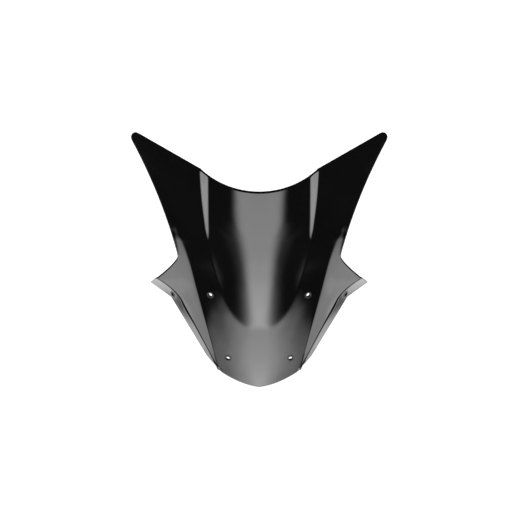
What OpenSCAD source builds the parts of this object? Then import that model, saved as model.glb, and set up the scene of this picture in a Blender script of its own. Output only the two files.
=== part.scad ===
// Motorcycle windshield screen: one formed sheet with a raised centre panel, two swept ears
// and two steep side flanges, held at six points by rubber grommets with flanged metal collars.
// Units are millimetres.  +X is the rider's left to right width, -Y faces forward, +Z is up.
// The sheet is drawn on a layout plane (x across, v up the plane, d out of the plane towards
// the front) that leans back by lean_deg, so every outline size below is read on that plane.

/* [Sheet] */
// sheet thickness
sheet_t = 3; // [2:0.1:4]
// lean of the layout plane back from level
lean_deg = 25; // [10:1:40]
// corner radius of the ear tips
tip_r = 8; // [6:0.5:10]
// depth of the round flat seat at each hole, both faces
seat_cut = 0.3; // [0.2:0.05:0.5]

/* [Outline] */
// height of the middle of the top edge above the nose
top_mid_v = 344; // [335:1:352]
// height of the notch between ear and side wing
notch_v = 235; // [228:1:242]
// half width at the notch
notch_x = 144; // [140:1:148]
// height of the side wing point
wing_v = 188; // [184:1:192]
// half width at the side wing point
wing_x = 192; // [188:1:196]
// height of the kink in the flange edge
kink_v = 161.5; // [158:0.5:165]
// half width at the flange kink
kink_x = 155; // [152:1:158]
// height of the bend low on the flange edge
bend_v = 58; // [55:1:62]
// half width at that bend
bend_x = 92; // [90:1:94]
// height of the lower corner
corner_v = 30; // [27:1:33]
// half width at the lower corner
corner_x = 69; // [66:1:72]

/* [Form] */
// curvature across the middle of the lower band, 1/mm
curve_low = 0.0085; // [0.006:0.0001:0.009]
// curvature across the middle of the upper part, 1/mm
curve_top = 0.0078; // [0.007:0.0001:0.0085]
// cross slope that the sides of the lower band tend to
slope_low = 0.3; // [0.26:0.005:0.36]
// cross slope that the ears tend to
slope_top = 1.12; // [1:0.01:1.2]
// rise of the centre panel above the lower band
panel_rise = 31; // [20:1:36]
// half width of the centre panel at the top edge
panel_x = 102.5; // [100:0.5:106]
// half width where its side walls begin
wall_x = 88.5; // [86:0.5:91]
// extra slope of the side walls
wall_slope = 1.25; // [0.8:0.05:1.6]
// extra slope of the side facets
facet_slope = 1; // [0.8:0.05:1.3]
// extra slope of the side flanges
flange_slope = 0.6; // [0.3:0.05:0.9]
// height of the small shoulder along each flange
shoulder = 3; // [1:0.5:4]

/* [Mounting points] */
// half spacing of the lower holes
low_x = 55; // [50:1:60]
// height of the lower holes
low_v = 54.5; // [48:0.5:60]
// half spacing of the upper holes
up_x = 85.5; // [82:0.5:89]
// height of the upper holes
up_v = 166; // [158:0.5:170]
// half spacing of the side holes
side_x = 152; // [150:0.5:154]
// height of the side holes
side_v = 166.5; // [164:0.5:169]

/* [Collars and grommets] */
// collar bore
bore_d = 7; // [5.2:0.1:7.2]
// collar tube outside diameter
tube_d = 8.4; // [8:0.1:8.6]
// collar flange diameter
flange_d = 11.4; // [10.8:0.1:12]
// collar flange thickness
flange_t = 0.8; // [0.7:0.1:1.5]
// grommet bore
grom_bore_d = 8.6; // [8.5:0.1:8.9]
// grommet waist diameter
waist_d = 10.4; // [10:0.1:10.5]
// hole in the sheet
hole_d = 10.6; // [10.6:0.1:11.2]
// grommet lip diameter
lip_d = 12.6; // [12.2:0.1:14]
// grommet lip thickness
lip_t = 0.8; // [0.7:0.1:1.6]

/* [Hidden] */
$fn = 64;
seat_d = lip_d + 0.8;

// ear tip: centre of its round end, and the extreme point of the tip
tip_x = 217.1;
tip_v = 441.1;
tip_end_x = tip_x + tip_r * sqrt(0.5);
tip_end_v = tip_v + tip_r * sqrt(0.5);
// top edge: radius of the middle arc, where the straight ear edge starts, and its slope
arc_r = 151;
arc_x = 102;
ear_v = 384;
ear_slope = 0.5775;
// nose: height of the middle of the lower edge
nose_v = 2;
// centre panel: height of its lower end, height where it is widest, and its outline powers
panel_low_v = 107;
panel_top_v = 385;
panel_p = 2.36;
panel_q = 1.6;
// height where the cross section has turned steep, and the length over which it turns
turn_top_v = 270;
turn_len = 60;
// heights where the panel's rise starts and ends fading
rise_low_v = 180;
rise_top_v = 295;
// heights where the facets are full at the bottom, and start and end fading at the top
facet_full_v = 75;
facet_low_v = 180;
facet_top_v = 310;
// rounding of the facet crease in the lower part, what is added higher up, and of the facet's outer side
crease_r = 0.3;
crease_more_r = 2.2;
margin_r = 2;
// rounding of the side walls
wall_r = 1.5;
// rounding of the flange fold, and what is added to it round the height where the fold is deepest
fold_r = 1.5;
fold_more_r = 6;
fold_deep_v = 143;

// soft positive part, smooth step, smooth minimum and maximum
function soft(x, r) = (x + sqrt(x * x + r * r)) / 2;
function step(x, a, b) = let (t = min(max((x - a) / (b - a), 0), 1)) t * t * (3 - 2 * t);
function soft_min(a, b, r) = (a + b - sqrt((a - b) * (a - b) + r * r)) / 2;
function soft_max(a, b, r) = (a + b + sqrt((a - b) * (a - b) + r * r)) / 2;
function between(v, v0, x0, v1, x1) = x0 + (x1 - x0) * (v - v0) / (v1 - v0);

// --- outline: half width of each edge at height v, height of the end edges at half width x ---
function ear_line(v) = let (u = v - notch_v - 5) notch_x + 1 + 0.27 * u + 0.00068 * u * u;
function ear_edge(v) = v > tip_v - tip_r / 2
  ? tip_x + sqrt(max(tip_r * tip_r - (v - tip_v) * (v - tip_v), 0))
  : ear_line(v);
function wing_edge(v) = let (u = v - wing_v) wing_x + 0.7 - 1.52 * u + 0.0085 * u * u;
function flange_edge(v) = v > kink_v ? between(v, kink_v, kink_x, wing_v, wing_x + 1)
  : v > bend_v ? between(v, bend_v, bend_x, kink_v, kink_x)
  : between(v, corner_v, corner_x, bend_v, bend_x);
function edge_x(v) = v > notch_v + 30 ? ear_edge(v)
  : v > wing_v + 6 ? soft_max(ear_edge(v), wing_edge(v), 3.5)
  : soft_min(flange_edge(v), wing_edge(v), 1.2);
function top_v(x) = x < arc_x ? top_mid_v + arc_r - sqrt(arc_r * arc_r - 0.985 * x * x)
  : x < tip_x - tip_r / 2 ? ear_v + ear_slope * (x - arc_x)
  : x < tip_end_x ? tip_v + sqrt(tip_r * tip_r - (x - tip_x) * (x - tip_x))
  : tip_end_v - 0.2 * (x - tip_end_x);
function nose_edge(x) = let (s = x / corner_x) x < corner_x
  ? nose_v + (corner_v - nose_v) * (0.32 * s + 0.68 * s * s) : corner_v + 0.4 * (x - corner_x);

// --- feature lines: half widths of the centre panel, the facet crease and the flange fold ---
function panel_open(v) = 1 - pow(max((panel_top_v - v) / (panel_top_v - panel_low_v), 0), panel_q);
function panel_line(v) = panel_x * pow(max(panel_open(v), 0), 1 / panel_p);
function facet_line(v) = 62.3 + 0.268 * v + 0.0016 * pow(max(v - 215, 0), 2);
function flange_line(v) = 53 + 0.53 * v + 0.015 * pow(max(v - 155, 0), 2);

// the facet ends at a narrow margin inside the ear's edge; below the notch it runs out past the outline
function margin_line(v) = ear_line(v) - 2.5 - 0.15 * (v - notch_v) + 3 * max(notch_v - v, 0);

// --- form: depth of the front face out of the layout plane, for half width x at height v ---
function centre(v) = 0.7 * v - 0.0006 * v * v + 0.17 * soft(v - panel_low_v, 10);
function turn(v) = soft_min(exp((v - turn_top_v) / turn_len), 1, 0.1);
function cross_fall(x, v) = let (t = turn(v), c = curve_low + (curve_top - curve_low) * t,
    k = slope_low + (slope_top - slope_low) * t)
  k * k / c * (sqrt(1 + pow(c * x / k, 2)) - 1);
function panel_fall(x, v) = panel_rise * (1 - step(v, rise_low_v, rise_top_v))
  * soft_min(pow(x / panel_x, panel_p), soft(panel_open(v), 0.055), 0.02);
function wall_fall(x, v) = let (w = max(panel_line(v) - wall_x, 0))
  wall_slope * step(w, 0, 4) * soft_min(soft(x - wall_x, wall_r), w, wall_r);
function facet_fall(x, v) = let (r = crease_r + crease_more_r * step(v, 100, 160))
  facet_slope * step(v, 0, facet_full_v) * (1 - step(v, facet_low_v, facet_top_v))
  * (soft(x - facet_line(v), r) - soft(x - margin_line(v), margin_r));
function flange_fall(x, v) = let (e = x - flange_line(v), b = exp(-pow((v - fold_deep_v) / 20, 2)),
    h = 0.5 + 0.55 * exp(-pow((v - 135) / 40, 2)) + 0.5 * b)
  flange_slope * soft(e, fold_r + fold_more_r * b) - shoulder * h * step(e, -fold_r, fold_r + 2.5 * b);
function depth(x, v) = let (a = abs(x)) centre(v) - cross_fall(a, v) - panel_fall(a, v)
  - wall_fall(a, v) - facet_fall(a, v) - flange_fall(a, v);
function normal(x, v) = let (e = 0.5, a = depth(x + e, v) - depth(x - e, v),
    b = depth(x, v + e) - depth(x, v - e), n = [-a, -b, 2 * e]) n / norm(n);

// --- mesh rows: [family, height of the row's outer end]; family 0 is below the notch, 1 above ---
function steps(from, to, n) = [for (i = [0:1:n - 1]) from + (to - from) * i / n];
low_rows = concat(steps(corner_v, bend_v, 4), steps(bend_v, kink_v, 12), steps(kink_v, wing_v - 5, 3),
  steps(wing_v - 5, wing_v + 7, 5), steps(wing_v + 7, notch_v, 7));
up_rows = concat(steps(notch_v, tip_v - 9, 18), steps(tip_v - 9, tip_end_v, 4), [tip_end_v]);
rows = concat([for (v = low_rows) [0, v]], [for (v = up_rows) [1, v]]);
function row_mix(r) = let (v = r[1], x = edge_x(v)) r[0] == 0
  ? (v - nose_edge(x)) / (notch_v - nose_edge(x)) : (v - notch_v) / (top_v(x) - notch_v);
function row_v(r, q, x) = r[0] == 0 ? nose_edge(x) + q * (notch_v - nose_edge(x))
  : notch_v + q * (top_v(x) - notch_v);
function line_x(kind, v) = kind == 0 ? panel_line(v) : kind == 1 ? facet_line(v) : min(flange_line(v), 230);
function meet(kind, r, q, x, n) = n == 0 ? x
  : meet(kind, r, q, (x + line_x(kind, row_v(r, q, x))) / 2, n - 1);
function row_x(r) = let (q = row_mix(r), w = edge_x(r[1]),
    f = min(meet(2, r, q, w, 24), w - 5),
    k = min(meet(1, r, q, 0.8 * w, 24), f - min(9, 0.12 * w), 0.55 * w + 62),
    p = min(max(meet(0, r, q, 0.5 * w, 24), 0.34 * w), k - 8),
    i = min(wall_x, 0.86 * p))
  concat(steps(0, i, 7), [i, (i + p) / 2, p], steps(p + 3, k, 3),
    [k, (k + f) / 2, f - fold_r, f, min(f + fold_r, (f + w) / 2), (f + w) / 2 + 1, w]);
half = [for (r = rows) let (q = row_mix(r)) [for (x = row_x(r)) [x, row_v(r, q, x)]]];
nh = len(half[0]);
nc = 2 * nh - 1;
nr = len(half);
grid = [for (row = half) for (i = [1 - nh:1:nh - 1]) [sign(i) * row[abs(i)][0], row[abs(i)][1]]];
front = [for (p = grid) [p[0], p[1], depth(p[0], p[1])]];
back = [for (p = grid) [p[0], p[1], depth(p[0], p[1])] - sheet_t * normal(p[0], p[1])];
// four corners to two triangles, split the same way on the left and the right half
function pair(a, b, c, d, left) = left ? [[a, b, c], [a, c, d]] : [[a, b, d], [d, b, c]];
nb = nr * nc;
front_faces = [for (j = [0:1:nr - 2]) for (i = [0:1:nc - 2]) let (a = j * nc + i)
  each pair(a, a + nc, a + nc + 1, a + 1, i < nh - 1)];
back_faces = [for (f = front_faces) [f[0] + nb, f[2] + nb, f[1] + nb]];
nose_faces = [for (i = [0:1:nc - 2]) each pair(i, i + 1, nb + i + 1, nb + i, true)];
top_faces = [for (i = [nb - nc:1:nb - 2]) each pair(i + 1, i, nb + i, nb + i + 1, true)];
left_faces = [for (i = [0:nc:nb - nc - 1]) each pair(i + nc, i, nb + i, nb + i + nc, true)];
right_faces = [for (i = [nc - 1:nc:nb - nc - 1]) each pair(i, i + nc, nb + i + nc, nb + i, true)];

// --- mounting points and the datum midway between the four face holes ---
points = [[-low_x, low_v], [low_x, low_v], [-up_x, up_v], [up_x, up_v], [-side_x, side_v], [side_x, side_v]];
datum = [0, (low_v + up_v) / 2, (depth(low_x, low_v) + depth(up_x, up_v)) / 2];
// heights along a mounting point's own axis, from the front face of the sheet
front_seat = -seat_cut;
rear_seat = seat_cut - sheet_t;
rear_lip = rear_seat - lip_t;
collar_front = front_seat + lip_t + 0.1;

module place() { rotate([lean_deg, 0, 0]) translate(-datum) children(); }
module at_point(i) {
  p = points[i];
  n = normal(p[0], p[1]);
  u = [n[2], 0, -n[0]] / norm([n[2], 0, -n[0]]);
  w = cross(n, u);
  place() multmatrix([[u[0], w[0], n[0], p[0]], [u[1], w[1], n[1], p[1]],
    [u[2], w[2], n[2], depth(p[0], p[1])], [0, 0, 0, 1]]) children();
}
module disc(d, from, to) { translate([0, 0, from]) cylinder(d = d, h = to - from); }

// formed sheet with six holes, each with a flat round seat on both faces
module screen_panel() color([0.05, 0.05, 0.055]) difference() {
  place() polyhedron(points = concat(front, back),
    faces = concat(front_faces, back_faces, nose_faces, top_faces, left_faces, right_faces));
  for (i = [0:1:5]) at_point(i) {
    disc(hole_d, -sheet_t - 4, 4);
    disc(seat_d, front_seat, 3);
    disc(seat_d, -sheet_t - 3, rear_seat);
  }
}

// rubber grommet: two lips and a waist through the sheet
module grommet(i) color([0.08, 0.08, 0.08]) at_point(i) difference() {
  union() {
    disc(lip_d, front_seat, front_seat + lip_t);
    disc(waist_d, rear_seat - 0.1, front_seat + 0.1);
    disc(lip_d, rear_lip, rear_seat);
  }
  disc(grom_bore_d, -sheet_t - 4, 4);
}

// metal collar: a tube through the grommet, with a flange against the rear lip
module collar(i) color([0.3, 0.3, 0.31]) at_point(i) difference() {
  union() {
    disc(tube_d, rear_lip - 0.2, collar_front);
    disc(flange_d, rear_lip - flange_t, rear_lip);
  }
  disc(bore_d, -sheet_t - 6, 6);
}

screen_panel();
grommet(0);  // grommet_lower_left
grommet(1);  // grommet_lower_right
grommet(2);  // grommet_upper_left
grommet(3);  // grommet_upper_right
grommet(4);  // grommet_side_left
grommet(5);  // grommet_side_right
collar(0);  // collar_lower_left
collar(1);  // collar_lower_right
collar(2);  // collar_upper_left
collar(3);  // collar_upper_right
collar(4);  // collar_side_left
collar(5);  // collar_side_right
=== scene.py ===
"""Looks of the motorcycle windshield screen: a polished dark sheet, six grommets and six collars.

The sheet is rebuilt finely from the same form functions as the CAD part, in millimetres on the
layout plane (x across, v up the plane, d out towards the front), then placed in the shared frame.
"""

import math

import bpy
import numpy as np
from mathutils import Matrix, Vector


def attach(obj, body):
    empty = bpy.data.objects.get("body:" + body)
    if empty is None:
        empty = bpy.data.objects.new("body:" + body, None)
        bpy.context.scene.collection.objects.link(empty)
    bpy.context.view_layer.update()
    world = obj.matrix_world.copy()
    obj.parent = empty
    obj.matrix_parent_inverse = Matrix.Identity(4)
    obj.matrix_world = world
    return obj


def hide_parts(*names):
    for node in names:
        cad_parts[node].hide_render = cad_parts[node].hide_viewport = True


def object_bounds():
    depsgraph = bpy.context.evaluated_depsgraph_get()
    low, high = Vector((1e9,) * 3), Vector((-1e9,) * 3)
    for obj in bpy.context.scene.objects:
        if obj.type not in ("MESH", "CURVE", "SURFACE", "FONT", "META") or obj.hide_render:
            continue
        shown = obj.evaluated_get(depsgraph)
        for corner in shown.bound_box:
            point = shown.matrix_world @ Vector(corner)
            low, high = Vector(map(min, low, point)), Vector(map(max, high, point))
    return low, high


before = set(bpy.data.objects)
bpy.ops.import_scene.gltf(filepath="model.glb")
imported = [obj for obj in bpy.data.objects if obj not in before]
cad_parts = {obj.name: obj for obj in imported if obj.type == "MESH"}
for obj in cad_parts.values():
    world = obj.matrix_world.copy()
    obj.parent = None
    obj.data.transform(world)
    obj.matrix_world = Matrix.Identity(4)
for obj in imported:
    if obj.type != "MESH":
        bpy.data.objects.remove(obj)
CAD_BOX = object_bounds()

# ---------------------------------------------------------------- sizes, in millimetres and degrees
SHEET_T = 3.0
LEAN = 25.0  # rise of the layout plane towards the rear

# outline
TIP_R = 8.0
TIP_X, TIP_V = 217.1, 441.1
TIP_END_X = TIP_X + TIP_R * math.sqrt(0.5)
TIP_END_V = TIP_V + TIP_R * math.sqrt(0.5)
TIP_FALL = 0.2
TOP_MID_V, ARC_R, ARC_X, ARC_STRETCH = 344.0, 151.0, 102.0, 0.985
EAR_V, EAR_SLOPE = 384.0, 0.5775
NOTCH_V, NOTCH_X, NOTCH_R = 235.0, 144.0, 3.5
EAR_START_V, EAR_START_X = NOTCH_V + 5, NOTCH_X + 1
EAR_LEAN, EAR_BEND = 0.27, 0.00068
WING_V, WING_X, WING_R = 188.0, 192.0, 1.2
WING_START_X, WING_LEAN, WING_BEND = WING_X + 0.7, 1.52, 0.0085
KINK_V, KINK_X = 161.5, 155.0
KINK_END_X = WING_X + 1
BEND_V, BEND_X = 58.0, 92.0
CORNER_V, CORNER_X, CORNER_SLOPE = 30.0, 69.0, 0.4
NOSE_V, NOSE_LEAN, NOSE_BEND = 2.0, 0.32, 0.68
NOTCH_FROM_V, EAR_FROM_V = WING_V + 6, NOTCH_V + 30  # where the outline passes from wing to notch to ear

# depth along the middle, and the curve across
CENTRE_LEAN, CENTRE_BEND = 0.7, 0.0006
TONGUE_LEAN, TONGUE_R = 0.17, 10
CURVE_LOW, CURVE_TOP = 0.0085, 0.0078
SLOPE_LOW, SLOPE_TOP = 0.3, 1.12
TURN_TOP_V, TURN_LEN, TURN_R = 270.0, 60.0, 0.1

# raised centre panel and the walls at its top
PANEL_RISE, PANEL_X, PANEL_LOW_V, PANEL_TOP_V = 31.0, 102.5, 107.0, 385.0
PANEL_P, PANEL_Q, PANEL_END_R, PANEL_EDGE_R = 2.36, 1.6, 0.055, 0.02
RISE_LOW_V, RISE_TOP_V = 180.0, 295.0
WALL_X, WALL_SLOPE, WALL_R, WALL_FULL_W = 88.5, 1.25, 1.5, 4

# side facets, and the margin beside the ear's edge
FACET_X, FACET_LEAN, FACET_BEND, FACET_BEND_V = 62.3, 0.268, 0.0016, 215
FACET_SLOPE, FACET_FULL_V, FACET_LOW_V, FACET_TOP_V = 1.0, 75.0, 180.0, 310.0
CREASE_R, CREASE_MORE_R, CREASE_LOW_V, CREASE_TOP_V = 0.3, 2.2, 100, 160
MARGIN_W, MARGIN_MORE_W, MARGIN_END, MARGIN_R = 2.5, 0.15, 3, 2.0

# side flanges behind their shoulder
FLANGE_X, FLANGE_LEAN, FLANGE_BEND, FLANGE_BEND_V = 53, 0.53, 0.015, 155
FLANGE_SLOPE = 0.6
SHOULDER, SHOULDER_V, SHOULDER_LEN = 3.0, 135, 40
SHOULDER_ENDS, SHOULDER_MIDDLE, SHOULDER_DEEP = 0.5, 0.55, 0.5
FOLD_R, FOLD_MORE_R, FOLD_MORE_W = 1.5, 6.0, 2.5
FOLD_DEEP_V, FOLD_DEEP_LEN = 143.0, 20

# holes, grommets and collars; z runs out of the front face
SEAT_CUT, SEAT_R, HOLE_R = 0.3, 6.7, 5.3
FRONT_SEAT_Z, REAR_SEAT_Z = -SEAT_CUT, SEAT_CUT - SHEET_T
GROMMET_BORE_R, WAIST_R, LIP_R, LIP_T = 4.3, 5.2, 6.3, 0.8
FRONT_LIP_Z, REAR_LIP_Z = FRONT_SEAT_Z + LIP_T, REAR_SEAT_Z - LIP_T
BORE_R, TUBE_R, TUBE_OUT, FLANGE_R, FLANGE_T = 3.5, 4.2, 0.1, 5.7, 0.8

# polished edge: width and depth of its front, rounding of its rear
FRONT_W, FRONT_R, REAR_R = 3.2, 2.2, 0.7
BEVEL = 1.6  # shape of the front: 1 is round, 2 is a flat bevel
STEEP_OUT, FLAT_OUT = 0.42, 0.52  # outward part of the normal where the front is smallest and full

LOW_X, LOW_V = 55.0, 54.5
UP_X, UP_V = 85.5, 166.0
SIDE_X, SIDE_V = 152.0, 166.5
POINTS = {
    "lower_left": (-LOW_X, LOW_V),
    "lower_right": (LOW_X, LOW_V),
    "upper_left": (-UP_X, UP_V),
    "upper_right": (UP_X, UP_V),
    "side_left": (-SIDE_X, SIDE_V),
    "side_right": (SIDE_X, SIDE_V),
}

# how far to each side the slope is measured: for the face, and for the flat seats
NORMAL_REACH, SEAT_REACH = 0.15, 0.5

# rows of the grid, by the height of their outer end: from, up to and how many
LOW_ROWS = [
    (CORNER_V, BEND_V, 11),
    (BEND_V, KINK_V, 38),
    (KINK_V, WING_V - 5, 8),
    (WING_V - 5, WING_V + 7, 12),
    (WING_V + 7, NOTCH_V, 16),
]
HIGH_ROWS = [(NOTCH_V, 265, 11), (265, 432, 48)]
TIP_ROWS = [432, 435, 437.6, 440, 442.3, 444.3, TIP_END_V]

# columns of the grid: distances of the close ones beside each feature line
MIDDLE_STEPS = [1.5, 3, 5]
PANEL_STEPS = [0.8, 1.6]
WALL_STEPS = [0.8, 1.6, 3, 5]
CREASE_STEPS = [0.5, 1.5, 3, 5]
FOLD_STEPS = [0.4, 0.8, 1.2, 1.6, 2.1, 3.2]
RIM_STEPS = [1.6]
TIGHT_SHARE = 0.4  # of a strip, the most that its close steps take

# limits that keep the feature lines apart, in millimetres and as shares of the half width
FOLD_MAX_X, FLANGE_MIN_W = 230, 5
FACET_MIN_W, FACET_MIN_SHARE = 9, 0.12
CREASE_MAX_X, CREASE_MAX_SHARE = 62, 0.55
PANEL_GAP, PANEL_MIN_SHARE, WALL_SHARE = 8, 0.34, 0.86

PULL_SHARE = 0.15  # part of the rows at the nose and at the top that the pulled-in outline shifts
CREASE_GAP = 0.6  # how far from the facet crease each side's normal is taken
BLOCK_R, BLOCK_DEPTH = 8.6, 12  # grid points this near to a hole give way to its rings
RING_SHARES = (0.7, 0.4, 0.18, 0)  # how far out between the seat and the grid each ring lies
FRONT_ANGLES = (8, 18, 30, 45, 60, 74, 84, 90)  # degrees round the edge from the front face
REAR_ANGLES = (90, 120, 150, 180)
FACE_SLOT, EDGE_SLOT = 0, 1


# ---------------------------------------------------------------- form of the sheet
def soft(x, r):
    """Positive part of x, rounded over a width r."""
    return (x + np.sqrt(x * x + r * r)) / 2


def step(x, a, b):
    """Smooth step from 0 at a to 1 at b."""
    t = np.clip((x - a) / (b - a), 0, 1)
    return t * t * (3 - 2 * t)


def soft_min(a, b, r):
    return (a + b - np.sqrt((a - b) ** 2 + r * r)) / 2


def soft_max(a, b, r):
    return (a + b + np.sqrt((a - b) ** 2 + r * r)) / 2


def between(v, v0, x0, v1, x1):
    return x0 + (x1 - x0) * (v - v0) / (v1 - v0)


def ear_line(v):
    """Long side of the ear, as a half width."""
    u = v - EAR_START_V
    return EAR_START_X + EAR_LEAN * u + EAR_BEND * u * u


def ear_edge(v):
    tip = TIP_X + np.sqrt(np.maximum(TIP_R**2 - (v - TIP_V) ** 2, 0))
    return np.where(v > TIP_V - TIP_R / 2, tip, ear_line(v))


def wing_edge(v):
    u = v - WING_V
    return WING_START_X - WING_LEAN * u + WING_BEND * u * u


def flange_edge(v):
    high = between(v, KINK_V, KINK_X, WING_V, KINK_END_X)
    middle = between(v, BEND_V, BEND_X, KINK_V, KINK_X)
    low = between(v, CORNER_V, CORNER_X, BEND_V, BEND_X)
    return np.where(v > KINK_V, high, np.where(v > BEND_V, middle, low))


def edge_x(v):
    """Half width of the outline at height v."""
    notch = soft_max(ear_edge(v), wing_edge(v), NOTCH_R)
    wing = soft_min(flange_edge(v), wing_edge(v), WING_R)
    return np.where(v > EAR_FROM_V, ear_edge(v), np.where(v > NOTCH_FROM_V, notch, wing))


def top_v(x):
    """Height of the top edge at half width x."""
    arc = TOP_MID_V + ARC_R - np.sqrt(np.maximum(ARC_R**2 - ARC_STRETCH * x * x, 0))
    straight = EAR_V + EAR_SLOPE * (x - ARC_X)
    tip = TIP_V + np.sqrt(np.maximum(TIP_R**2 - (x - TIP_X) ** 2, 0))
    end = TIP_END_V - TIP_FALL * (x - TIP_END_X)
    low = np.where(x < ARC_X, arc, straight)
    return np.where(x < TIP_X - TIP_R / 2, low, np.where(x < TIP_END_X, tip, end))


def nose_edge(x):
    """Height of the lower edge at half width x."""
    s = x / CORNER_X
    curve = NOSE_V + (CORNER_V - NOSE_V) * (NOSE_LEAN * s + NOSE_BEND * s * s)
    return np.where(x < CORNER_X, curve, CORNER_V + CORNER_SLOPE * (x - CORNER_X))


def panel_open(v):
    """How far the centre panel has opened: 0 at the tongue's end, 1 at its top."""
    return 1 - np.maximum((PANEL_TOP_V - v) / (PANEL_TOP_V - PANEL_LOW_V), 0) ** PANEL_Q


def panel_line(v):
    """Half width of the centre panel."""
    return PANEL_X * np.maximum(panel_open(v), 0) ** (1 / PANEL_P)


def facet_line(v):
    """Half width of the crease where the side facet starts."""
    return FACET_X + FACET_LEAN * v + FACET_BEND * np.maximum(v - FACET_BEND_V, 0) ** 2


def flange_line(v):
    """Half width of the fold where the side flange starts."""
    return FLANGE_X + FLANGE_LEAN * v + FLANGE_BEND * np.maximum(v - FLANGE_BEND_V, 0) ** 2


def margin_line(v):
    """Outer side of the facet beside the ear's edge; it runs out past the outline below the notch."""
    past = MARGIN_END * np.maximum(NOTCH_V - v, 0)
    return ear_line(v) - MARGIN_W - MARGIN_MORE_W * (v - NOTCH_V) + past


def centre_depth(v):
    return CENTRE_LEAN * v - CENTRE_BEND * v * v + TONGUE_LEAN * soft(v - PANEL_LOW_V, TONGUE_R)


def cross_fall(x, v):
    """Curve across the sheet: soon straight beside the middle at the nose, curved throughout at the top."""
    t = soft_min(np.exp((v - TURN_TOP_V) / TURN_LEN), 1, TURN_R)
    c = CURVE_LOW + (CURVE_TOP - CURVE_LOW) * t
    k = SLOPE_LOW + (SLOPE_TOP - SLOPE_LOW) * t
    return k * k / c * (np.sqrt(1 + (c * x / k) ** 2) - 1)


def panel_fall(x, v):
    """Drop from the raised centre panel to the sheet beside and below it."""
    fall = soft_min((x / PANEL_X) ** PANEL_P, soft(panel_open(v), PANEL_END_R), PANEL_EDGE_R)
    return PANEL_RISE * (1 - step(v, RISE_LOW_V, RISE_TOP_V)) * fall


def wall_fall(x, v):
    """Steep wall at the side of the panel, where the panel has opened past it."""
    w = np.maximum(panel_line(v) - WALL_X, 0)
    return WALL_SLOPE * step(w, 0, WALL_FULL_W) * soft_min(soft(x - WALL_X, WALL_R), w, WALL_R)


def facet_fall(x, v):
    """Steep side facet from its crease out to the margin; it fades out at the nose and up the ear."""
    slope = FACET_SLOPE * step(v, 0, FACET_FULL_V) * (1 - step(v, FACET_LOW_V, FACET_TOP_V))
    rounding = CREASE_R + CREASE_MORE_R * step(v, CREASE_LOW_V, CREASE_TOP_V)
    crease = soft(x - facet_line(v), rounding)
    return slope * (crease - soft(x - margin_line(v), MARGIN_R))


def flange_fall(x, v):
    """Fall of the flange past its fold, less the shoulder, where it first steps forward."""
    e = x - flange_line(v)
    middle = np.exp(-(((v - SHOULDER_V) / SHOULDER_LEN) ** 2))
    deep = np.exp(-(((v - FOLD_DEEP_V) / FOLD_DEEP_LEN) ** 2))
    height = SHOULDER * (SHOULDER_ENDS + SHOULDER_MIDDLE * middle + SHOULDER_DEEP * deep)
    past = step(e, -FOLD_R, FOLD_R + FOLD_MORE_W * deep)
    return FLANGE_SLOPE * soft(e, FOLD_R + FOLD_MORE_R * deep) - height * past


def depth(x, v):
    """Depth of the front face out of the layout plane."""
    a = np.abs(x)
    middle = cross_fall(a, v) + panel_fall(a, v) + wall_fall(a, v)
    return centre_depth(v) - (middle + facet_fall(a, v) + flange_fall(a, v))


def unit(a):
    return a / np.linalg.norm(a, axis=-1, keepdims=True)


def normal(x, v, e=NORMAL_REACH):
    """Outward normal of the front face, from its depth at a reach e to each side."""
    dx = depth(x + e, v) - depth(x - e, v)
    dv = depth(x, v + e) - depth(x, v - e)
    return unit(np.stack([-dx, -dv, np.full_like(dx, 2 * e)], -1))


def surface(x, v):
    return np.stack([x, v, depth(x, v)], -1)


DATUM = np.array([0, (LOW_V + UP_V) / 2, (depth(LOW_X, LOW_V) + depth(UP_X, UP_V)) / 2])
COS, SIN = math.cos(math.radians(LEAN)), math.sin(math.radians(LEAN))
TURN = np.array([[1, 0, 0], [0, COS, -SIN], [0, SIN, COS]])


def to_frame(points):
    """Layout-plane millimetres to metres in the shared frame."""
    return (points - DATUM) @ TURN.T / 1000


def hole_axes(x, v):
    """Centre on the front face and the axes (across, along, out) of a hole, on the layout plane."""
    x, v = np.array(float(x)), np.array(float(v))
    n = normal(x, v, SEAT_REACH)
    u = unit(np.array([n[2], 0, -n[0]]))
    return surface(x, v), u, np.cross(n, u), n


# ---------------------------------------------------------------- grid of the sheet
def steps(a, b, n):
    return [a + (b - a) * i / n for i in range(n)]


def row_ends():
    """(is the row above the notch, height of its outer end) for each row, from the nose to the tips."""
    low = [v for part in LOW_ROWS for v in steps(*part)]
    high = [v for part in HIGH_ROWS for v in steps(*part)] + TIP_ROWS
    above = np.array([False] * len(low) + [True] * len(high))
    return above, np.array(low + high)


def row_height(above, q, x):
    """Height at half width x of a row that lies the share q up its part of the sheet."""
    lower = nose_edge(x) + q * (NOTCH_V - nose_edge(x))
    upper = NOTCH_V + q * (top_v(x) - NOTCH_V)
    return np.where(above, upper, lower)


def meet(line, above, q, x, rounds=30):
    """Half width where each row crosses a feature line, found from a first guess x."""
    for _ in range(rounds):
        x = (x + line(row_height(above, q, x))) / 2
    return x


def columns(a, b, left, right, count):
    """Half widths from a up to b: close steps at the ends, count even ones between them."""
    tight_l = np.minimum(1, TIGHT_SHARE * (b - a) / left[-1]) if left else 0
    tight_r = np.minimum(1, TIGHT_SHARE * (b - a) / right[-1]) if right else 0
    start = a + (left[-1] * tight_l if left else 0)
    stop = b - (right[-1] * tight_r if right else 0)
    out = [a] + [a + o * tight_l for o in left]
    out += [start + (stop - start) * i / count for i in range(1, count)]
    return out + [b - o * tight_r for o in reversed(right)]


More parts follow.
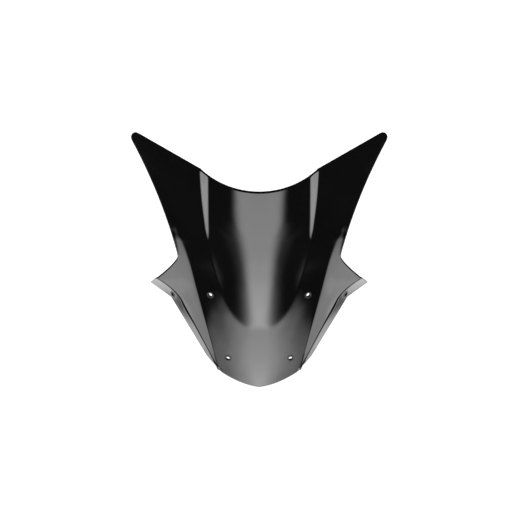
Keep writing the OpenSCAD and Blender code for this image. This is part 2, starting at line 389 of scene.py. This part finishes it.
def strip_lines(above, q, w):
    """Half widths of the wall, the panel's edge, the facet crease and the flange fold in each row.

    They part the strips of columns, so they are kept in order, and inside the outline w, where
    a feature runs out.
    """
    fold = meet(lambda v: np.minimum(flange_line(v), FOLD_MAX_X), above, q, w)
    fold = np.minimum(fold, w - FLANGE_MIN_W)
    crease = meet(facet_line, above, q, 0.8 * w)
    crease = np.minimum(crease, fold - np.minimum(FACET_MIN_W, FACET_MIN_SHARE * w))
    crease = np.minimum(crease, CREASE_MAX_SHARE * w + CREASE_MAX_X)
    panel = meet(panel_line, above, q, 0.5 * w)
    panel = np.minimum(np.maximum(panel, PANEL_MIN_SHARE * w), crease - PANEL_GAP)
    inner = np.minimum(WALL_X, WALL_SHARE * panel)
    return inner, panel, crease, fold


def sheet_grid():
    """Layout x and v of every grid point, rows from nose to tips, columns from left to right,
    and how many columns out from the middle the facet crease lies."""
    above, v_end = row_ends()
    w = edge_x(v_end)
    mix_low = (v_end - nose_edge(w)) / (NOTCH_V - nose_edge(w))
    mix_high = (v_end - NOTCH_V) / (top_v(w) - NOTCH_V)
    q = np.where(above, mix_high, mix_low)
    inner, panel, crease, fold = strip_lines(above, q, w)
    x = columns(0 * w, inner, [], MIDDLE_STEPS, count=16)
    x += columns(inner, panel, PANEL_STEPS, PANEL_STEPS, count=8)
    x += columns(panel, crease, WALL_STEPS, CREASE_STEPS, count=13)
    crease_at = len(x)
    x += columns(crease, fold, CREASE_STEPS, FOLD_STEPS, count=8)
    x += columns(fold, w, FOLD_STEPS, RIM_STEPS, count=9) + [w]
    x = np.stack(x, 1)
    v = row_height(above[:, None], q[:, None], x)
    gx = np.hstack([-x[:, :0:-1], x])
    gv = np.hstack([v[:, :0:-1], v])
    return pull_in(gx, gv, q, fold), crease_at


def rim_loop(nr, nc):
    """Indices round the outline, anticlockwise seen from the front."""
    loop = [(0, i) for i in range(nc)] + [(j, nc - 1) for j in range(1, nr)]
    loop += [(nr - 1, i) for i in range(nc - 2, -1, -1)] + [(j, 0) for j in range(nr - 2, 0, -1)]
    return np.array([j * nc + i for j, i in loop])


def outward(points, normals):
    """Unit vectors in the face, pointing out across a closed loop."""
    run = np.roll(points, -1, 0) - np.roll(points, 1, 0)
    run -= np.sum(run * normals, 1, keepdims=True) * normals
    return unit(np.cross(run, normals))


class Skin:
    """Vertices, four-sided faces and a normal at every face corner, gathered block by block."""

    def __init__(self):
        self.verts, self.faces, self.normals, self.slots, self.count = [], [], [], [], 0

    def add(self, points):
        """Adds points, and returns their indices."""
        points = points.reshape(-1, 3)
        self.verts.append(points)
        self.count += len(points)
        return np.arange(self.count - len(points), self.count)

    def quads(self, corners, normals, slot):
        """corners: faces by 4 indices; normals: faces by 4 corners by 3."""
        self.faces.append(corners)
        self.normals.append(normals)
        self.slots.append(np.full(len(corners), slot))

    def band(self, outer, inner, n_outer, n_inner, slot):
        """A closed band of faces between two rings of indices; outer runs anticlockwise."""
        after = np.roll(np.arange(len(outer)), -1)
        corners = np.stack([outer, outer[after], inner[after], inner], 1)
        normals = np.stack([n_outer, n_outer[after], n_inner[after], n_inner], 1)
        self.quads(corners, normals, slot)

    def mesh(self, name):
        verts = to_frame(np.concatenate(self.verts))
        faces = np.concatenate(self.faces)
        normals = unit(np.concatenate(self.normals).reshape(-1, 3) @ TURN.T)
        used, faces = np.unique(faces, return_inverse=True)
        mesh = bpy.data.meshes.new(name)
        mesh.from_pydata(verts[used].tolist(), [], faces.reshape(-1, 4).tolist())
        mesh.polygons.foreach_set("use_smooth", np.ones(len(mesh.polygons), bool))
        mesh.polygons.foreach_set("material_index", np.concatenate(self.slots).astype(np.int32))
        mesh.normals_split_custom_set(normals.tolist())
        mesh.update()
        return mesh


def block_loop(j0, j1, i0, i1, nc):
    """Indices round a block of the grid, anticlockwise seen from the front."""
    loop = [(j0, i) for i in range(i0, i1)] + [(j, i1) for j in range(j0, j1)]
    loop += [(j1, i) for i in range(i1, i0, -1)] + [(j, i0) for j in range(j1, j0, -1)]
    return np.array([j * nc + i for j, i in loop])


def drop_to_surface(points, n, rounds=12):
    """Moves points along n until they lie on the front face."""
    for _ in range(rounds):
        gap = points[:, 2] - depth(points[:, 0], points[:, 1])
        lean = np.sum(normal(points[:, 0], points[:, 1]) * n, 1)
        out = normal(points[:, 0], points[:, 1])[:, 2]
        points = points - (gap * out / lean)[:, None] * n
    return points


def open_hole(skin, edge, outer_f, outer_b, axes):
    """Rings of faces from a block's edge points in to the round seat, then the seats and the bore."""
    p, u, w, n = axes
    a, b = (edge - p) @ u, (edge - p) @ w
    size = np.hypot(a, b)
    ca, cb = a / size, b / size
    n_outer = normal(edge[:, 0], edge[:, 1])
    for share in RING_SHARES:
        r = SEAT_R + (size - SEAT_R) * share
        ring = drop_to_surface(p + np.outer(ca * r, u) + np.outer(cb * r, w), n)
        n_ring = normal(ring[:, 0], ring[:, 1])
        ring_f, ring_b = skin.add(ring), skin.add(ring - SHEET_T * n_ring)
        skin.band(outer_f, ring_f, n_outer, n_ring, FACE_SLOT)
        skin.band(ring_b, outer_b, -n_ring, -n_outer, FACE_SLOT)
        outer_f, outer_b, n_outer = ring_f, ring_b, n_ring
    radial = np.outer(ca, u) + np.outer(cb, w)
    axis = np.tile(n, (len(edge), 1))
    corners = [(SEAT_R, FRONT_SEAT_Z), (HOLE_R, FRONT_SEAT_Z), (HOLE_R, REAR_SEAT_Z), (SEAT_R, REAR_SEAT_Z)]
    rings = [outer_f] + [skin.add(p + radial * r + n * z) for r, z in corners] + [outer_b]
    for outer, inner, way in zip(rings, rings[1:], (-radial, axis, -radial, -axis, -radial)):
        skin.band(outer, inner, way, way, EDGE_SLOT)


def sheet_holes(skin, grid, front, back, nr, nc):
    """Opens the six holes, and returns which cells of the grid they take the place of."""
    cut = np.zeros((nr - 1, nc - 1), bool)
    for point in POINTS.values():
        p, u, w, n = hole_axes(*point)
        flat = grid - p
        near = (np.hypot(flat @ u, flat @ w) < BLOCK_R) & (np.abs(flat @ n) < BLOCK_DEPTH)
        rows, cols = np.nonzero(near.reshape(nr, nc))
        j0, j1, i0, i1 = rows.min() - 1, rows.max() + 1, cols.min() - 1, cols.max() + 1
        cut[j0:j1, i0:i1] = True
        loop = block_loop(j0, j1, i0, i1, nc)
        open_hole(skin, grid[loop], front[loop], back[loop], (p, u, w, n))
    return cut


def edge_size(normals):
    """Width and depth of the polished edge's front: full on the face, small on the steep flanges."""
    share = step(normals[:, 2:], STEEP_OUT, FLAT_OUT)
    return REAR_R + (FRONT_W - REAR_R) * share, REAR_R + (FRONT_R - REAR_R) * share


def pull_in(gx, gv, q, fold):
    """Moves the outline in by the width of the edge's front, and the points near it by less."""
    nr, nc = gx.shape
    rim = rim_loop(nr, nc)
    x, v = gx.ravel()[rim], gv.ravel()[rim]
    ring = np.zeros((nr * nc, 2))
    wide, _ = edge_size(normal(x, v))
    ring[rim] = (-wide * outward(surface(x, v), normal(x, v)))[:, :2]
    ring = ring.reshape(nr, nc, 2)
    end = np.abs(gx[:, -1:])
    across = np.clip((np.abs(gx) - fold[:, None]) / (end - fold[:, None]), 0, 1)[1:-1, 1:-1, None]
    low = np.clip(1 - q / PULL_SHARE, 0, 1) * (gv[:, 0] < NOTCH_V)
    high = np.clip((q - (1 - PULL_SHARE)) / PULL_SHARE, 0, 1) * (gv[:, 0] >= NOTCH_V)
    side = np.where(np.arange(nc)[None, 1:-1, None] < nc // 2, ring[1:-1, :1], ring[1:-1, -1:])
    shift = ring.copy()
    ends = low[1:-1, None, None] * ring[:1, 1:-1] + high[1:-1, None, None] * ring[-1:, 1:-1]
    shift[1:-1, 1:-1] = across * side + ends
    return gx + shift[..., 0], gv + shift[..., 1]


def creased(cells, normals, x, v, nc, crease_at):
    """Normals at the cells' corners; on the facet crease each side takes its own."""
    corner = normals[cells]
    gap = np.sign(x) * CREASE_GAP * (1 - step(v, CREASE_LOW_V, CREASE_TOP_V))
    away = np.abs(cells % nc - nc // 2)
    on_crease = away == crease_at
    inside = away.mean(1, keepdims=True) < crease_at
    corner = np.where((on_crease & inside)[..., None], normal(x - gap, v)[cells], corner)
    return np.where((on_crease & ~inside)[..., None], normal(x + gap, v)[cells], corner)


def rim_edge(skin, points, n_rim, front, back):
    """Closes the rim with a bevelled front, a flat middle and a small rounding at the rear.

    Each turn has its width, its depth, how far out and down its centre lies, its shape and its angle.
    """
    out = outward(points, n_rim)
    wide, deep = edge_size(n_rim)
    front_turns = [(wide, deep, 0, deep, BEVEL, angle) for angle in FRONT_ANGLES]
    rear_turns = [(REAR_R, REAR_R, wide - REAR_R, SHEET_T - REAR_R, 1, angle) for angle in REAR_ANGLES]
    ring, n_ring = front, n_rim
    for across, down, shift, drop, shape, angle in front_turns + rear_turns:
        sine, cosine = math.sin(math.radians(angle)), math.cos(math.radians(angle))
        n_next = unit(sine ** (2 - shape) / across * out + cosine ** (2 - shape) / down * n_rim)
        past = (shift + across * sine**shape) * out
        below = (drop - down * cosine**shape) * n_rim
        after = skin.add(points + past - below)
        skin.band(after, ring, n_next, n_ring, EDGE_SLOT)
        ring, n_ring = after, n_next
    skin.band(back, ring, -n_rim, -n_rim, FACE_SLOT)


def sheet_mesh():
    """The whole sheet: front and rear face, six holes and the edge all round."""
    (gx, gv), crease_at = sheet_grid()
    nr, nc = gx.shape
    gx, gv = gx.ravel(), gv.ravel()
    grid, normals = surface(gx, gv), normal(gx, gv)

    skin = Skin()
    front = skin.add(grid)
    back = skin.add(grid - SHEET_T * normals)
    cut = sheet_holes(skin, grid, front, back, nr, nc)
    index = np.arange(nr * nc).reshape(nr, nc)
    cells = np.stack([index[:-1, :-1], index[:-1, 1:], index[1:, 1:], index[1:, :-1]], -1)[~cut]
    corner = creased(cells, normals, gx, gv, nc, crease_at)
    skin.quads(front[cells], corner, FACE_SLOT)
    skin.quads(back[cells[:, ::-1]], -corner[:, ::-1], FACE_SLOT)
    rim = rim_loop(nr, nc)
    rim_edge(skin, grid[rim], normals[rim], front[rim], back[rim])
    return skin.mesh("windshield_shell")


# ---------------------------------------------------------------- turned pieces
def rounded(corners, pieces=5):
    """A closed (r, z) profile from (r, z, rounding) corners."""
    points = [Vector((r, z)) for r, z, _ in corners]
    out = []
    for i, (here, (_, _, radius)) in enumerate(zip(points, corners)):
        if not radius:
            out.append(tuple(here))
            continue
        before, after = points[i - 1], points[(i + 1) % len(points)]
        a = here + (before - here).normalized() * radius
        b = here + (after - here).normalized() * radius
        for k in range(pieces + 1):
            t = k / pieces
            out.append(tuple(a * (1 - t) ** 2 + here * 2 * t * (1 - t) + b * t * t))
    return out


def turned_mesh(name, profile, segments=72):
    """Revolves a closed (r, z) profile in millimetres about z; the result is in metres."""
    ring = len(profile)
    turns = [2 * math.pi * s / segments for s in range(segments)]
    verts = [
        (r / 1000 * math.cos(turn), r / 1000 * math.sin(turn), z / 1000)
        for turn in turns
        for r, z in profile
    ]
    faces = [
        (s * ring + i, s * ring + j, (s + 1) % segments * ring + j, (s + 1) % segments * ring + i)
        for s in range(segments)
        for i, j in zip(range(ring), [*range(1, ring), 0])
    ]
    mesh = bpy.data.meshes.new(name)
    mesh.from_pydata(verts, [], faces)
    mesh.polygons.foreach_set("use_smooth", np.ones(len(mesh.polygons), bool))
    mesh.set_sharp_from_angle(angle=math.radians(35))
    mesh.update()
    return mesh


def grommet_mesh():
    """Two lips and a waist, with a bore for the collar."""
    corners = [
        (GROMMET_BORE_R, REAR_LIP_Z, 0.3),
        (LIP_R, REAR_LIP_Z, 0.5),
        (LIP_R, REAR_SEAT_Z, 0.2),
        (WAIST_R, REAR_SEAT_Z, 0),
        (WAIST_R, FRONT_SEAT_Z, 0),
        (LIP_R, FRONT_SEAT_Z, 0.2),
        (LIP_R, FRONT_LIP_Z, 0.5),
        (GROMMET_BORE_R, FRONT_LIP_Z, 0.3),
    ]
    return turned_mesh("grommet", rounded(corners))


def collar_mesh():
    """Tube through the grommet, with a flange behind its rear lip."""
    corners = [
        (BORE_R, REAR_LIP_Z - FLANGE_T, 0.2),
        (FLANGE_R, REAR_LIP_Z - FLANGE_T, 0.25),
        (FLANGE_R, REAR_LIP_Z, 0.25),
        (TUBE_R, REAR_LIP_Z, 0),
        (TUBE_R, FRONT_LIP_Z + TUBE_OUT, 0.15),
        (BORE_R, FRONT_LIP_Z + TUBE_OUT, 0.2),
    ]
    return turned_mesh("collar", rounded(corners))


def place(name, mesh, point, material, node):
    """Puts a turned piece on its hole and hands it to the frame."""
    p, u, w, n = hole_axes(*point)
    turn = TURN @ np.stack([u, w, n], 1)
    piece = bpy.data.objects.new(name, mesh)
    bpy.context.collection.objects.link(piece)
    piece.matrix_world = Matrix.Translation(Vector(to_frame(p))) @ Matrix(turn.tolist()).to_4x4()
    mesh.materials.clear()
    mesh.materials.append(material)
    keep(piece, node)


def keep(piece, node):
    """Hands a piece to the frame: its body, and the node it stands for, which it hides."""
    bpy.context.view_layer.update()
    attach(piece, "root")
    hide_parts(node)


# ---------------------------------------------------------------- node helpers
class Nodes:
    """Short ways to add the nodes that the materials and the world share."""

    def __init__(self, tree):
        self.tree = tree
        tree.nodes.clear()

    def new(self, kind, **inputs):
        node = self.tree.nodes.new(kind)
        for key, value in inputs.items():
            self.put(node.inputs[key.replace("_", " ")], value)
        return node

    def put(self, socket, value):
        if isinstance(value, bpy.types.NodeSocket):
            self.tree.links.new(value, socket)
        else:
            socket.default_value = value

    def maths(self, operation, *values):
        node = self.tree.nodes.new("ShaderNodeMath")
        node.operation = operation
        for socket, value in zip(node.inputs, values):
            self.put(socket, value)
        return node.outputs[0]

    def fade(self, value, start, end, low=0.0, high=1.0):
        """Smooth step of value: low at start, high at end."""
        node = self.new("ShaderNodeMapRange", From_Min=start, From_Max=end, To_Min=low, To_Max=high)
        node.interpolation_type = "SMOOTHSTEP"
        self.put(node.inputs["Value"], value)
        return node.outputs[0]

    def ramp(self, value, stops):
        """Piecewise-linear grey ramp: stops are (position, level), both from 0 to 1."""
        node = self.tree.nodes.new("ShaderNodeValToRGB")
        self.put(node.inputs[0], value)
        band = node.color_ramp
        while len(band.elements) < len(stops):
            band.elements.new(0.5)
        for element, (position, level) in zip(band.elements, stops):
            element.position = position
            element.color = (level, level, level, 1)
        return node.outputs[0]

    def noise(self, where, scale, detail):
        return self.new("ShaderNodeTexNoise", Vector=where, Scale=scale, Detail=detail).outputs["Fac"]

    def bump(self, height, distance, strength, under=None):
        node = self.new("ShaderNodeBump", Height=height, Distance=distance, Strength=strength)
        if under is not None:
            self.put(node.inputs["Normal"], under)
        return node.outputs[0]

    def colour(self, factor, dark, light):
        """Mix of two colours; sockets 6 and 7 are the mix node's colour inputs."""
        node = self.tree.nodes.new("ShaderNodeMix")
        node.data_type = "RGBA"
        self.put(node.inputs[0], factor)
        node.inputs[6].default_value = (*dark, 1)
        node.inputs[7].default_value = (*light, 1)
        return node.outputs[2]


def new_material(name):
    """A material, its nodes, its shader and the place on the piece."""
    material = bpy.data.materials.new(name)
    material.use_nodes = True
    nodes = Nodes(material.node_tree)
    shader = nodes.new("ShaderNodeBsdfPrincipled")
    nodes.new("ShaderNodeOutputMaterial", Surface=shader.outputs[0])
    where = nodes.new("ShaderNodeTexCoord").outputs["Object"]
    return material, nodes, shader, where


# ---------------------------------------------------------------- materials
def smoked_sheet(name, roughest, ripple):
    """Polished dark sheet: a faint long waviness from forming, a fine orange peel and uneven polish."""
    material, nodes, shader, where = new_material(name)
    cloud = nodes.noise(where, scale=14, detail=3)
    fine = nodes.noise(where, scale=900, detail=2)
    base = nodes.colour(cloud, dark=(0.0012, 0.0012, 0.0014), light=(0.003, 0.003, 0.0033))
    nodes.put(shader.inputs["Base Color"], base)
    polish = nodes.maths("ADD", nodes.maths("MULTIPLY", cloud, 0.6), nodes.maths("MULTIPLY", fine, 0.4))
    roughness = nodes.fade(polish, 0.3, 0.75, low=roughest * 0.55, high=roughest)
    nodes.put(shader.inputs["Roughness"], roughness)
    shader.inputs["IOR"].default_value = 1.49
    wave = nodes.noise(where, scale=22, detail=1)
    wave = nodes.bump(wave, distance=0.0012 * ripple, strength=0.35)
    peel = nodes.noise(where, scale=420, detail=1)
    peel = nodes.bump(peel, distance=0.00004 * ripple, strength=0.3, under=wave)
    nodes.put(shader.inputs["Normal"], peel)
    return material


def moulded_rubber():
    """Smooth black rubber with a fine moulded grain."""
    material, nodes, shader, where = new_material("moulded_rubber")
    cloud = nodes.noise(where, scale=600, detail=3)
    base = nodes.colour(cloud, dark=(0.006, 0.006, 0.006), light=(0.014, 0.014, 0.014))
    nodes.put(shader.inputs["Base Color"], base)
    nodes.put(shader.inputs["Roughness"], nodes.fade(cloud, 0.3, 0.7, low=0.3, high=0.45))
    grain = nodes.noise(where, scale=4000, detail=2)
    nodes.put(shader.inputs["Normal"], nodes.bump(grain, distance=0.00005, strength=0.5))
    return material


def plated_steel():
    """Black plated steel with turned rings round its axis."""
    material, nodes, shader, where = new_material("plated_steel")
    apart = nodes.new("ShaderNodeSeparateXYZ", Vector=where)
    across, along = (nodes.maths("POWER", apart.outputs[i], 2.0) for i in (0, 1))
    radius = nodes.maths("SQRT", nodes.maths("ADD", across, along))
    rings = nodes.new("ShaderNodeTexNoise", Scale=1.0, Detail=2.0)
    rings.noise_dimensions = "1D"
    nodes.put(rings.inputs["W"], nodes.maths("MULTIPLY", radius, 9000.0))
    cloud = nodes.noise(where, scale=500, detail=3)
    base = nodes.colour(cloud, dark=(0.02, 0.02, 0.021), light=(0.045, 0.045, 0.047))
    nodes.put(shader.inputs["Base Color"], base)
    nodes.put(shader.inputs["Roughness"], nodes.fade(cloud, 0.3, 0.7, low=0.32, high=0.5))
    shader.inputs["Metallic"].default_value = 1.0
    nodes.put(shader.inputs["Normal"], nodes.bump(rings.outputs["Fac"], distance=0.00003, strength=0.4))
    return material


def pale_floor():
    """White paper that gives no highlight and glows a little, so that it stays white in shadow."""
    material, nodes, shader, where = new_material("pale_floor")
    cloud = nodes.noise(where, scale=3, detail=3)
    base = nodes.colour(cloud, dark=(0.93, 0.93, 0.93), light=(0.96, 0.96, 0.96))
    nodes.put(shader.inputs["Base Color"], base)
    shader.inputs["Roughness"].default_value = 0.9
    shader.inputs["Specular IOR Level"].default_value = 0.0
    shader.inputs["Emission Color"].default_value = (1, 1, 1, 1)
    shader.inputs["Emission Strength"].default_value = 0.35
    return material


# ---------------------------------------------------------------- stage
FLOOR_HALF, FLOOR_GAP = 12.0, 0.25  # metres
VIEW_ELEVATION, VIEW_DISTANCE, VIEW_WIDTH = 65, 10.0, 0.91  # degrees and metres
VIEW_X, VIEW_V = 1.3, 227.0  # millimetres on the layout plane
SENSOR_W, CLIP_END = 36.0, 60.0

# The lantern's brightness in its middle, the angle to the side where it has faded and how sharply
# it fades there, each by height in degrees; a colour ramp holds them as shares of the scale.
RISE_SPAN = 120
LEVEL_SCALE, REACH_SCALE, POWER_SCALE = 8.0, 32.0, 10.0
LANTERN_LEVEL = [
    (-45, 2.6), (-30, 4.5), (-14, 8.0), (-5, 7.8), (-4, 7.2), (-2, 6.8), (0, 6.2),
    (2, 5.8), (4, 5.4), (12, 5.2), (15, 5.0), (18, 4.0), (22, 2.0), (28, 0.0),
]
LANTERN_REACH = [
    (-40, 8), (-14, 14), (-8, 18), (-6, 19.4), (-4, 21.8), (-2, 23.0), (0, 23.8),
    (3, 24.8), (6, 26.6), (12, 30.5), (20, 28),
]
LANTERN_POWER = [(-8, 2.1), (-6, 2.3), (-4, 3.2), (-2, 3.8), (0, 4.0), (3, 4.8), (6, 7.5), (12, 9.5)]
DIM_LIGHT = 0.05


def lantern(nodes, rise, swing):
    """Brightness of the broad light in front, by height and by angle to the side, both in degrees."""
    height = nodes.maths("MULTIPLY_ADD", rise, 1 / RISE_SPAN, 0.5)

    def by_height(pairs, scale):
        stops = [(degrees / RISE_SPAN + 0.5, value / scale) for degrees, value in pairs]
        return nodes.maths("MULTIPLY", nodes.ramp(height, stops), scale)

    level = by_height(LANTERN_LEVEL, LEVEL_SCALE)
    reach = by_height(LANTERN_REACH, REACH_SCALE)
    power = by_height(LANTERN_POWER, POWER_SCALE)
    aside = nodes.maths("POWER", nodes.maths("DIVIDE", swing, reach), power)
    return nodes.maths("MULTIPLY", level, nodes.maths("EXPONENT", nodes.maths("MULTIPLY", aside, -1.0)))


def table_glow(nodes, rise, swing):
    """Brightness of the lit table under the part, by height and by angle to the side, both in degrees.

    Out to the sides it is bright, with a dark strip that the flanges reflect below their side holes.
    It is bright low in front too, ends just behind the part and is dim straight down.
    """
    strip = nodes.maths("MULTIPLY", nodes.fade(rise, -37, -42), nodes.fade(rise, -53, -46))
    strip = nodes.maths("MULTIPLY", nodes.fade(swing, 82, 86, low=0.0, high=-2.2), strip)
    flank = nodes.maths("ADD", strip, nodes.fade(swing, 76, 80, low=2.3, high=2.8))
    side = nodes.maths("MULTIPLY", nodes.fade(rise, -8, -26), nodes.fade(swing, 48, 66))
    side = nodes.maths("MULTIPLY", side, flank)
    front = nodes.fade(rise, -22, -40, low=0.0, high=2.3)
    front = nodes.maths("MULTIPLY", front, nodes.fade(swing, 82, 68))
    ahead = nodes.maths("MULTIPLY", nodes.maths("MAXIMUM", side, front), nodes.fade(swing, 102, 94))
    return nodes.maths("MAXIMUM", ahead, nodes.fade(rise, -70, -82, low=0.0, high=0.8))


def studio_light():
    """Even white surroundings, except in reflections, which see a lantern and a lit table instead."""
    world = bpy.data.worlds.new("studio")
    bpy.context.scene.world = world
    world.use_nodes = True
    nodes = Nodes(world.node_tree)
    way = nodes.new("ShaderNodeTexCoord").outputs["Generated"]
    side, ahead, up = nodes.new("ShaderNodeSeparateXYZ", Vector=way).outputs
    rise = nodes.maths("DEGREES", nodes.maths("ARCSINE", up))
    front = nodes.maths("MULTIPLY", ahead, -1.0)
    swing = nodes.maths("DEGREES", nodes.maths("ARCTAN2", nodes.maths("ABSOLUTE", side), front))
    shine = nodes.maths("MAXIMUM", lantern(nodes, rise, swing), table_glow(nodes, rise, swing))
    shine = nodes.maths("ADD", shine, DIM_LIGHT)
    path = nodes.new("ShaderNodeLightPath")
    seen = nodes.new("ShaderNodeMix")
    nodes.put(seen.inputs[0], path.outputs["Is Glossy Ray"])  # sockets 0, 2, 3: share, number, number
    nodes.put(seen.inputs[2], 1.0)
    nodes.put(seen.inputs[3], shine)
    sky = nodes.new("ShaderNodeBackground", Color=(1, 1, 1, 1), Strength=seen.outputs[0])
    nodes.new("ShaderNodeOutputWorld", Surface=sky.outputs[0])


def stage_floor(z):
    """White floor below the part, left out of its reflections."""
    mesh = bpy.data.meshes.new("floor")
    corners = [(-1, -1), (1, -1), (1, 1), (-1, 1)]
    mesh.from_pydata([(x * FLOOR_HALF, y * FLOOR_HALF, z) for x, y in corners], [], [(0, 1, 2, 3)])
    floor = bpy.data.objects.new("floor", mesh)
    bpy.context.collection.objects.link(floor)
    mesh.materials.append(pale_floor())
    floor.visible_glossy = False


def studio_camera():
    """Long lens from the front and well above, square to the photographed view."""
    elevation = math.radians(VIEW_ELEVATION)
    target = Vector(to_frame(np.array([VIEW_X, VIEW_V, DATUM[2]])))
    data = bpy.data.cameras.new("camera")
    data.sensor_width = SENSOR_W
    data.lens = SENSOR_W * VIEW_DISTANCE / VIEW_WIDTH
    data.clip_end = CLIP_END
    camera = bpy.data.objects.new("camera", data)
    bpy.context.collection.objects.link(camera)
    back = Vector((0, -math.cos(elevation), math.sin(elevation)))
    camera.location = target + back * VIEW_DISTANCE
    camera.rotation_euler = (-back).to_track_quat("-Z", "Y").to_euler()
    bpy.context.scene.camera = camera


# ---------------------------------------------------------------- build
def build():
    shell = bpy.data.objects.new("windshield_shell", sheet_mesh())
    bpy.context.collection.objects.link(shell)
    shell.data.materials.append(smoked_sheet("smoked_sheet", 0.09, 1.0))
    shell.data.materials.append(smoked_sheet("polished_edge", 0.16, 0.6))
    keep(shell, "screen_panel")
    rubber, steel = moulded_rubber(), plated_steel()
    seal, sleeve = grommet_mesh(), collar_mesh()
    for name, point in POINTS.items():
        place("seal_" + name, seal, point, rubber, "grommet_" + name)
        place("sleeve_" + name, sleeve, point, steel, "collar_" + name)
    studio_light()
    stage_floor(CAD_BOX[0].z - FLOOR_GAP)
    studio_camera()
    bpy.context.scene.view_settings.view_transform = "Standard"


build()
